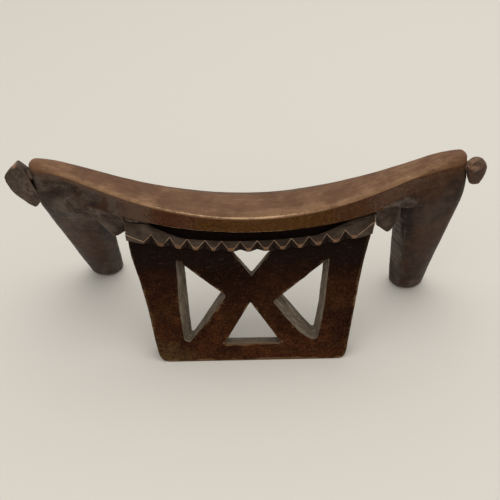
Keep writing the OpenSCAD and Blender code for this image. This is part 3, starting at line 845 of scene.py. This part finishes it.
def panelMesh(p):
    verts, faces, cuts, sawn = [], [], [], []
    turns = [math.pi / 2 * k / (p["edgeRows"] - 1) for k in range(p["edgeRows"])]
    edge = [(p["edge"] * (1 - math.sin(t)), -p["edge"] * (1 - math.cos(t))) for t in turns]
    wall = np.linspace(-p["edge"], -(p["thick"] - p["edge"]), p["walls"] + 1)[1:-1]
    depths = edge + [(0.0, n) for n in wall] + [(o, -p["thick"] - n) for o, n in edge[::-1]]
    rims = [], []
    for front, back in panelLoops(p):
        # both outlines start at the place nearest to each other
        m, first = len(front), len(verts)
        shift = np.argmin([np.abs(np.roll(back, -k, axis=0) - front).sum() for k in range(m)])
        back = np.roll(back, -shift, axis=0)
        for row, (offset, n) in enumerate(depths):
            ring = inward(blendTo(front, back, -n / p["thick"]), offset)
            verts += onPanel(ring[:, 0], ring[:, 1], n).tolist()
            cuts += [1.0 if 3 <= row <= len(depths) - 4 else 0.0] * m
            sawn += [cuts[-1] if first else 0.0] * m        # the knife's marks show in the windows only
        for q in range(first, first + (len(depths) - 1) * m, m):
            faces += [(q + j, q + (j + 1) % m, q + m + (j + 1) % m, q + m + j) for j in range(m)]
        rims[0].append((first, m))
        rims[1].append((first + (len(depths) - 1) * m, m))

    # the two faces: a jittered grid of points between the rims
    rng = np.random.default_rng(21)
    flat = np.array(verts)
    step = p["grid"]
    for n, rim in zip((0.0, -p["thick"]), rims):
        rings, known, constraints = [], [], []
        for first, m in rim:
            world = flat[first:first + m]
            rings.append(np.column_stack([world[:, 0], (world[:, 2] - n * slopeSin) / slopeCos]))
            constraints += [(len(known) + j, len(known) + (j + 1) % m) for j in range(m)]
            known += range(first, first + m)
        xs, ss = np.meshgrid(np.arange(*p["gridAcross"], step), np.arange(*p["gridUp"], step))
        xs = xs + (np.arange(xs.shape[0]) % 2)[:, None] * step / 2
        loose = np.column_stack([xs.ravel(), ss.ravel()]) + rng.normal(0, p["gridJitter"], (xs.size, 2))
        border = np.vstack(rings)
        tree = treeOf([(*b, 0) for b in border])
        clear = np.array([tree.find((*q, 0))[2] > p["rimClear"] * step for q in loose])
        loose = loose[onWood(loose, rings) & clear]
        corners = [Vector(q) for q in np.vstack([border, loose])]
        found, _, triangles, origins, _, _ = delaunay_2d_cdt(corners, constraints, [], 0, 1e-6)
        index = known + list(range(len(verts), len(verts) + len(loose)))
        verts += onPanel(loose[:, 0], loose[:, 1], n).tolist()
        cuts += [0.0] * len(loose)
        sawn += [0.0] * len(loose)
        found = np.array([tuple(v) for v in found])
        centres = np.array([found[list(t)].mean(axis=0) for t in triangles])
        wood = itertools.compress(triangles, onWood(centres, rings))
        faces += [tuple(index[origins[k][0]] for k in t) for t in wood]
    return verts, faces, np.array(cuts), np.array(sawn)


def buildPanel(p):
    verts, faces, cuts, sawn = panelMesh(p)
    piece = newPiece("carved_panel", verts, faces)
    points = pointsOf(piece)
    x, _, z = points.T
    s, n = slopeOf(points[:, 1], z)
    # the strip above the cornice lies back in a dark groove
    sunk = ease(s - lowerContour(x), p["grooveFrom"] - 3, p["grooveFrom"]) * ease(n, -3, -0.5)
    points -= np.array([[0.0, -slopeCos, slopeSin]]) * (sunk * p["grooveDeep"])[:, None]
    setPoints(piece, points)
    wear, grimeAndShade = wearAndGrime(piece, (2, 8), (0.14, 0.6))
    height = 0.35 * lattice(points, (34, 20, 26), 31) + 0.12 * lattice(points, (8, 6, 6), 32)
    height += 0.09 * toolFacets(points, (16, 14, 9), 33) * (1 - cuts)
    height += 0.2 * toolFacets(points, (7, 9, 7), 34) * cuts
    height += 0.05 * lattice(points, 2.5, 35)
    pushed(piece, height * ease(z, 0.5, 4))
    flush = pointsOf(piece)
    flush[:, 2] = np.maximum(flush[:, 2], 0)        # the foot stays on the floor
    setPoints(piece, flush)
    keep(piece, "cutWay", np.column_stack([x * 0.075, n * 0.36, s * 0.075]), "FLOAT_VECTOR", "vector")
    # worn: raised edges, the foot's front edge and the lower window's sill
    wear += 0.9 * ease(4.5 - s, 0, 3) * ease(n, -3, -0.5)
    wear += 1.6 * (np.abs(s - p["sill"]) < 1.5) * (np.abs(x) < p["sillHalf"]) * ease(n, -3.5, -1)
    keep(piece, "wear", wear * (0.35 + 0.65 * np.clip(lattice(points, 9, 37) + 0.3, 0, 1)))
    # darker in hollows, and as painted shade on the face's upper part under the cornice
    keep(piece, "grimeAndShade", (grimeAndShade + 0.6 * ease(s, 82, 116) * (1 - cuts)) * (1 - 0.85 * sawn))
    out = np.abs(x) - panelHalfAt(s)
    corner = ease(-s, -34, -4) * ease(-x, 40, 88)
    paint(
        # painted shade: the face darkens upwards, under the cornice and the saddle
        piece, sawn=sawn, dusky=(1 - cuts) * (ease(s, 38, 146) + 0.25 * ease(-np.abs(x + 15), -40, -10)),
        rusty=(1 - cuts) * (0.7 * ease(-s, -70, -10) + 0.5 * lattice(points, (18, 20, 12), 36)),
        olive=(1 - cuts) * (corner + 0.75 * ease(out, -7, -1) * ease(-s, -115, -70)
                            + 0.8 * ease(x - panelHalfAt(s), -7, -2) * ease(s, 60, 90)))
    finished(piece, carvedWood("dark panel wood", panelLook), "front_panel")


def panelHalfAt(s, p=panelShape):
    return p["lowHalf"] + (p["highHalf"] - p["lowHalf"]) * np.asarray(s) / p["highAt"]


def lowerContour(x, p=panelShape):
    # how far up the slope the cornice begins; its curve and slant are given 100 mm from the middle
    x = np.asarray(x)
    return p["ledgeUp"] + p["ledgeCurve"] * (x / 100) ** 2 + p["ledgeSlant"] * x / 100


buildPanel(panelShape)
say("panel is pierced")


# Cornice: an overhanging ledge with a row of upright V cuts that leave a zigzag

corniceShape = {
    "left": -126.3, "right": 126.3, "out": 9.0, "leftLean": 0.13, "rightLean": 0.27, "leanFrom": 19.0,
    "firstApex": -99.0, "pitch": 17.62, "cuts": 12, "cutWidth": 14.6, "tipSoft": 0.02, "cutsTo": 107,
    "strip": 2.9, "stripSide": 2.4, "leftEndStrip": 6.2, "rightEndStrip": 12.5, "endFrom": 106,
    "step": 0.75, "line": 0.95, "leastCut": 0.02,
    # above the cornice's lower edge
    "browUp": 9.6, "browOut": 3.4, "holdUp": 9.4, "holdRise": 10.5,
    # where the rows of points lie on the wall, the brow and the ledge
    "wallShares": (0, 0.4, 0.75, 0.92, 1), "ledgeRows": 14,
    "browShares": (0.05, 0.12, 0.2, 0.3, 0.4, 0.5, 0.6, 0.7, 0.8, 0.9, 1),
}

corniceLook = {
    "tones": [(0.0, (0.040, 0.026, 0.018)), (0.5, (0.066, 0.045, 0.032)), (1.0, (0.100, 0.072, 0.052))],
    # the first two zones are painted shade
    "zones": [("shaded", (0.006, 0.003, 0.002), 0.97), ("cut", (0.026, 0.016, 0.013), 0.8),
              ("rubbed", (0.27, 0.135, 0.070), 0.8), ("lapped", (0.16, 0.112, 0.086), 0.95)],
    "blotch": ((0.030, 0.018, 0.012), 0.4), "mottle": ((0.030, 0.019, 0.013), 0.4),
    "grain": ((0.022, 0.014, 0.010), 0.3), "grainScale": (40.0, 260.0, 260.0),
    "fleck": ((0.13, 0.095, 0.07), 0.35), "pore": ((0.010, 0.007, 0.006), 0.6),
    "wear": ((0.44, 0.29, 0.185), 0.9), "wearStart": 0.3,
    "grimeAndShade": ((0.008, 0.005, 0.004), 0.85), "scratch": ((0.17, 0.125, 0.09), 0.5),
    "roughness": 0.55, "polish": 0.1, "bump": 0.6, "specular": 0.03, "coat": 0.0,
}


def cornicePath(start, end, shares):
    return [(blendTo(start[0], end[0], k), blendTo(start[1], end[1], k)) for k in shares]


def corniceSection(x, cut, c):
    # cut runs from 0 on a tooth's tip to 1 in the bottom of a V
    low, far = float(lowerContour(x)), abs(x)
    side = float(ease(far, 92, 114))
    hold = low + c["holdUp"] + c["holdRise"] * float(ease(far, 55, 112)) ** 1.3
    strip = blendTo(c["strip"], c["stripSide"], float(ease(far, 0, 100)))
    hand = "left" if x < 0 else "right"
    if far > c["endFrom"]:
        outwards = (far - c["endFrom"]) / (abs(c[hand]) - c["endFrom"])
        strip = blendTo(c["stripSide"], c[hand + "EndStrip"], outwards)
    brow = low + c["browUp"] + max(0, strip - 5)
    roof = (float(underAt(x)) + 1.5) / slopeCos
    # out of the slope and up it: foot, ridge, brow, ledge, and two places under the saddle
    keys = [(c["out"], low), (c["out"], low + strip), (c["browOut"], brow),
            (blendTo(2.6, 1.8, side), min(roof - 2.5, max(hold, brow + 0.2))),
            (blendTo(-2.4, 1.4, side), min(roof - 1.2, blendTo(hold - 0.8, roof - 1.2, side))),
            (blendTo(-7.0, -3.0, side), blendTo(hold - 1.2, roof, side))]
    ys = [-panelShape["reach"] + s * slopeSin - n * slopeCos for n, s in keys]
    zs = [s * slopeCos + n * slopeSin for n, s in keys]
    back, base = -panelShape["reach"] + low * slopeSin, low * slopeCos
    # the ridge is where the upright wall meets the sloping upper face
    foot = ys[0], zs[0]
    if cut >= c["leastCut"]:
        foot = blendTo(ys[0], back, cut), blendTo(zs[0], base, cut)
    wallY = max(foot[0], ys[1])
    ring = cornicePath(foot, (wallY, float(np.interp(wallY, ys[1:4], zs[1:4]))), c["wallShares"])
    ridge = previous = ring[-1]
    shares = c["browShares"], np.linspace(0, 1, c["ledgeRows"] + 1)[1:], (0.5, 1), (0.5, 1)
    for k, y in enumerate((max(wallY, ys[2]), ys[3], ys[4], ys[5])):
        y = max(y, previous[0])
        here = (y, float(np.interp(y, ys[1:4], zs[1:4])) if k < 2 else zs[k + 2])
        ring += cornicePath(previous, here, shares[k])
        previous = here
    ring += [(previous[0] + 4, previous[1]), (back + 4, base - 2.2), (back + 0.6, base - 0.2)]
    ring += cornicePath((back + 0.2, base - 0.05), ring[0], (0, 0.25, 0.5, 0.75))
    y, z = np.array(ring).T
    pull = c[hand + "Lean"] * float(ease(far, 108, 126)) * np.maximum(0.0, c["leanFrom"] - (z - base))
    return np.column_stack([x - math.copysign(1, x) * pull, y, z]), ridge


def buildCornice(c):
    rng = np.random.default_rng(41)
    apexes = c["firstApex"] + c["pitch"] * np.arange(c["cuts"]) + rng.normal(0, 0.5, c["cuts"])
    halves = c["cutWidth"] / 2 + rng.normal(0, 0.35, c["cuts"])
    deeps = rng.uniform(1.0, 1.06, c["cuts"])
    stations = np.union1d(np.arange(c["left"], c["right"], c["step"]), np.append(apexes, c["right"]))
    nearest = np.abs(stations[:, None] - apexes).argmin(axis=1)
    q = 1 - np.abs(stations - apexes[nearest]) / halves[nearest]
    cuts = np.clip(deeps[nearest] * 0.5 * (q + np.sqrt(q * q + c["tipSoft"])), 0, 1.05)
    cuts[np.abs(stations) > c["cutsTo"]] = 0
    sections, ridges = zip(*(corniceSection(x, cut, c) for x, cut in zip(stations, cuts)))
    verts, faces = loft(sections)
    piece = newPiece("carved_cornice", verts, faces, weld=0.01)
    points = pointsOf(piece)
    x, y, z = points.T
    s, n = slopeOf(y, z)
    above, far = s - lowerContour(x), np.abs(x)
    # the ends lean, so each point is first put back on its own station
    upright = x.copy()
    for _ in range(3):
        lean = np.where(x < 0, c["leftLean"], c["rightLean"]) * ease(np.abs(upright), 108, 126)
        upright = x + np.sign(x) * lean * np.maximum(0, c["leanFrom"] - (z - lowerContour(upright) * slopeCos))
    ridgeY, ridgeZ = (np.interp(upright, stations, values) for values in zip(*ridges))
    cutHere = np.interp(upright, stations, cuts)
    # worn: the zigzag's ridge and the two end edges
    shown = 0.6 + 0.4 * np.maximum(ease(cutHere, 0.05, 0.3), ease(np.abs(upright), 106, 109))
    worn = np.clip(1 - np.hypot(y - ridgeY, z - ridgeZ) / c["line"], 0, 1)
    worn = worn * (0.85 + 0.3 * lattice(points, 5, 47)) * shown
    rightEnd, leftEnd = (ease(past, -1.3, -0.3) for past in (upright - c["right"], c["left"] - upright))
    atEnd = 0.75 * np.maximum(rightEnd, 0.7 * leftEnd) * ease(n, 0.5, 2.5) * ease(above, 3, 5)
    keep(piece, "grimeAndShade", wearAndGrime(piece, (1, 4), (9.0, 1.6))[1])
    pushed(piece, 0.1 * lattice(points, (6, 4, 4), 42) + 0.05 * toolFacets(points, (9, 5, 5), 43))
    facing = normalsOf(piece)[:, 2]
    # how far below the saddle's front edge a point shows
    below = underAt(x) - z - 0.7 * (y + halfWidthAt(x))
    # wavering lines of painted shade just under the saddle's front edge, on the right
    along = np.column_stack([x, 0 * x, 0 * x])
    wobble, broken = 0.9 * lattice(along, 8, 44), ease(lattice(along, (11, 8, 8), 45), -0.5, 0.1)
    shadeLines = (3.6, broken), (6.0, 0.8 * (1 - broken))
    shadeLine = sum(fade(np.abs(below - at - wobble), 0.2, 0.8) * share for at, share in shadeLines)
    shadeLine = shadeLine * ease(x, 62, 76) * fade(x, 112, 122) * ease(above, 9.5, 11)
    rubbed = fade(cutHere, 0.1, 0.4) * fade(above, 3.4, 4.6) * ease(n, 6.5, 8)
    rubbed = rubbed * fade(far, 100, 112) * ease(above, 0.4, 1.0)
    # the saddle's skin laps over the cornice at its left end, lightened there as painted light, down to a line
    # of painted shade
    below = below - 3.6 * ease(-x, 102, 124)
    lapEdge = ease(below, -0.6, 0.1)
    paint(
        piece, wear=np.maximum(worn, atEnd), rubbed=rubbed, lapped=(1 - lapEdge) * ease(-x, 98, 108),
        # painted shade inside the V cuts
        cut=ease(cutHere, 0.12, 0.3) * ease(-facing, -0.45, -0.2) * ease(n, -1, 1),
        shaded=np.maximum.reduce([
            ease(-n, -4.2, -1.2) * ease(110 - far, 0, 15), ease(1.0 - above, 0, 1) * ease(-facing, 0.2, 0.6),
            shadeLine, lapEdge * fade(below, 1.0, 2.4) * ease(far, 84, 96)]))
    finished(piece, carvedWood("scratched cornice wood", corniceLook), "zigzag_cornice")


buildCornice(corniceShape)
say("cornice is cut")


# Pendants: small faceted wedges under the saddle, beside the panel's shoulders

pendantShape = {
    "left": {
        "face": [(-166, 157), (-158.7, 154.7), (-147.3, 151.7), (-137.4, 143.8),
                 (-126.6, 138.5), (-125.6, 129.5), (-133.9, 123.5), (-138.3, 123.2)],
        "ridge": [(-168, 162), (-156, 161.5), (-145, 158), (-134, 151), (-127.5, 146)],
        "brow": [(-156.5, -16.2, 160.5), (-145, -17.6, 157), (-130, -19.0, 151.8), (-126.6, -18.5, 149.5),
                 (-126.6, -16.5, 144)],
        "scraped": (143, 157)},
    "right": {
        "face": [(128, 138.8), (141.6, 139.6), (147.9, 144.7), (150.6, 137.2), (146.6, 129.5), (142, 122.8),
                 (139.5, 121), (137.2, 122), (127.8, 129.4)],
        "ridge": [(127.6, 149), (140, 153), (150, 158), (153, 160)],
        "brow": [(127.0, -19.9, 155.6), (127.0, -18.6, 147), (141, -18.9, 157),
                 (149, -18.0, 158), (150, -16.0, 151)],
        "scraped": (139, 157)},
    "front": -12.5, "back": -4.0, "voxel": 0.65, "softened": 2,
}


def buildPendant(side, p):
    own, points = p[side], []
    for x, z in own["face"]:
        points += [(x, p["front"], z), (x * 0.997, p["back"], z + 0.5)]
    for x, z in own["ridge"]:
        points += [(x, p["front"] + 2.5, z), (x, p["back"], z)]
    piece = hullPiece("carved_" + side + "_pendant", points + own["brow"], p["voxel"], p["softened"])
    spots = pointsOf(piece)
    pushed(piece, 0.18 * lattice(spots, 7, 51) + 0.12 * toolFacets(spots, (6, 6, 5), 52))
    keepWear(piece, (2, 10), (0.10, 0.5))
    paint(piece, browned=0.1 + 0.4 * lattice(spots, 12, 53), dusty=0.46 + 0.1 * lattice(spots, 8, 54),
          # painted light: the pendant's upper bevel is paler
          scraped=0.5 * ease(spots[:, 2], *own["scraped"]) * ease(-spots[:, 1], 10, 13))
    finished(piece, legWood, side + "_pendant")


for side in ("left", "right"):
    buildPendant(side, pendantShape)
say("pendants are in place")


# Knobs on short necks: a big faceted head on the left, a small rounded tail on the right

knobShape = {
    "head": {
        "front": [(-226.4, 204), (-235.0, 199.6), (-239.6, 193.8), (-240.8, 191), (-240.1, 185.8),
                  (-236.6, 176.6), (-231.5, 169.7), (-220.7, 159.2), (-215, 155.6), (-212.4, 156.4),
                  (-207.2, 163.6), (-208.2, 166.2), (-216.0, 180.0), (-216.4, 187.5), (-217.4, 189.5),
                  (-219.4, 194.8), (-221.8, 199)],
        "back": [(-230.2, 200.4), (-227.4, 203.4), (-225.5, 202.5), (-217.5, 195.2), (-237, 185), (-235, 177),
                 (-220, 161), (-213, 160)],
        "frontY": -6.0, "backY": 6.5,
        "neckFrom": -219.0, "neckTo": -208.0, "neckZ": 190.0, "neckRadius": 5.5, "neckWaist": 0.12},
    "tail": {
        # along the knob: x, middle height, half depth, half height
        "rings": [(211.5, 190.5, 5.4, 3.1), (215.4, 190.3, 5.7, 3.5), (217.2, 184.8, 7.0, 9.0),
                  (218.8, 183.3, 8.7, 11.6), (221.0, 183.5, 10.1, 12.6), (224.5, 184.1, 10.6, 13.1),
                  (227.6, 184.3, 10.2, 12.7), (231.0, 186.3, 8.2, 9.6), (233.6, 187.2, 5.0, 5.9),
                  (235.2, 187.8, 0.8, 1.0)],
        "square": 2.9},
    "voxel": 0.6, "softened": 5,
}

knobLook = dict(
    legLook,
    tones=[(0.0, (0.050, 0.034, 0.025)), (0.5, (0.083, 0.059, 0.045)), (1.0, (0.120, 0.088, 0.067))],
    # the pale zone is partly painted light, the near-black one painted shade
    zones=[("browned", (0.115, 0.056, 0.035), 0.85), ("sunned", (0.42, 0.235, 0.140), 0.85),
           ("sheltered", (0.006, 0.003, 0.002), 0.92)],
    wear=((0.19, 0.125, 0.075), 0.3))


def tubeAlong(stations, count, squareness=2.0):
    # rings round x; each station is x, height, half depth and half height
    turns = np.linspace(0, 2 * np.pi, count, endpoint=False)
    c, s = np.cos(turns), np.sin(turns)
    outline = (np.abs(c) ** squareness + np.abs(s) ** squareness) ** (-1 / squareness)
    return loft([np.column_stack([np.full(count, x), deep * c * outline, z + tall * s * outline])
                 for x, z, deep, tall in stations])


def buildTail(k):
    own = k["tail"]
    keys = np.array(own["rings"])
    at = np.linspace(keys[0, 0], keys[-1, 0], 60)
    stations = np.column_stack([at] + [np.interp(at, keys[:, 0], keys[:, i]) for i in (1, 2, 3)])
    piece = newPiece("carved_right_knob", *tubeAlong(stations, 72, own["square"]))
    spots = pointsOf(remeshed(piece, k["voxel"], k["softened"]))
    pushed(piece, 0.25 * lattice(spots, 9, 64) + 0.12 * toolFacets(spots, (8, 7, 8), 65))
    keepWear(piece, (3, 12), (0.14, 0.7))
    paint(piece, browned=0.75 + 0.4 * lattice(spots, 14, 63),
          # painted light: the knob's upward faces are paler
          sunned=ease(normalsOf(piece)[:, 2], -0.2, 0.45) * (0.7 + 0.5 * lattice(spots, (12, 9, 4), 66)))
    finished(piece, knobWood, "right_knob")


def buildHead(k):
    own = k["head"]
    points = [(x, own["frontY"], z) for x, z in own["front"]] + [(x, own["backY"], z) for x, z in own["back"]]
    piece = hullPiece("carved_left_knob", points, k["voxel"], k["softened"])
    spots = pointsOf(piece)
    pushed(piece, 0.25 * lattice(spots, 9, 61) + 0.16 * toolFacets(spots, (8, 7, 8), 62))
    stations = []
    for t in np.linspace(0, 1, 12):
        r = own["neckRadius"] * (1 - own["neckWaist"] * math.sin(math.pi * t))
        stations.append((blendTo(own["neckFrom"], own["neckTo"], t), own["neckZ"], r, r))
    neck = newPiece("neck", *tubeAlong(stations, 36))
    joint = piece.modifiers.new("joined to its neck", "BOOLEAN")
    joint.operation, joint.solver, joint.object = "UNION", "EXACT", neck
    applyAll(piece)
    bpy.data.objects.remove(neck)
    spots = pointsOf(piece)
    x, y, z = spots.T
    keepWear(piece, (3, 12), (0.10, 0.5))
    paint(piece, browned=0.2 + 0.5 * lattice(spots, 14, 63),
          sunned=0.8 * ease(z, 199.5, 202) * ease(-x, 226, 229) * ease(-y, -4, 0),
          # painted shade on the sides that face the saddle, low on the head
          sheltered=ease(normalsOf(piece)[:, 0], 0.45, 0.8) * fade(z, 183, 190))
    finished(piece, knobWood, "left_knob")


knobWood = carvedWood("rubbed knob wood", knobLook)
buildHead(knobShape)
buildTail(knobShape)
say("knobs are on")
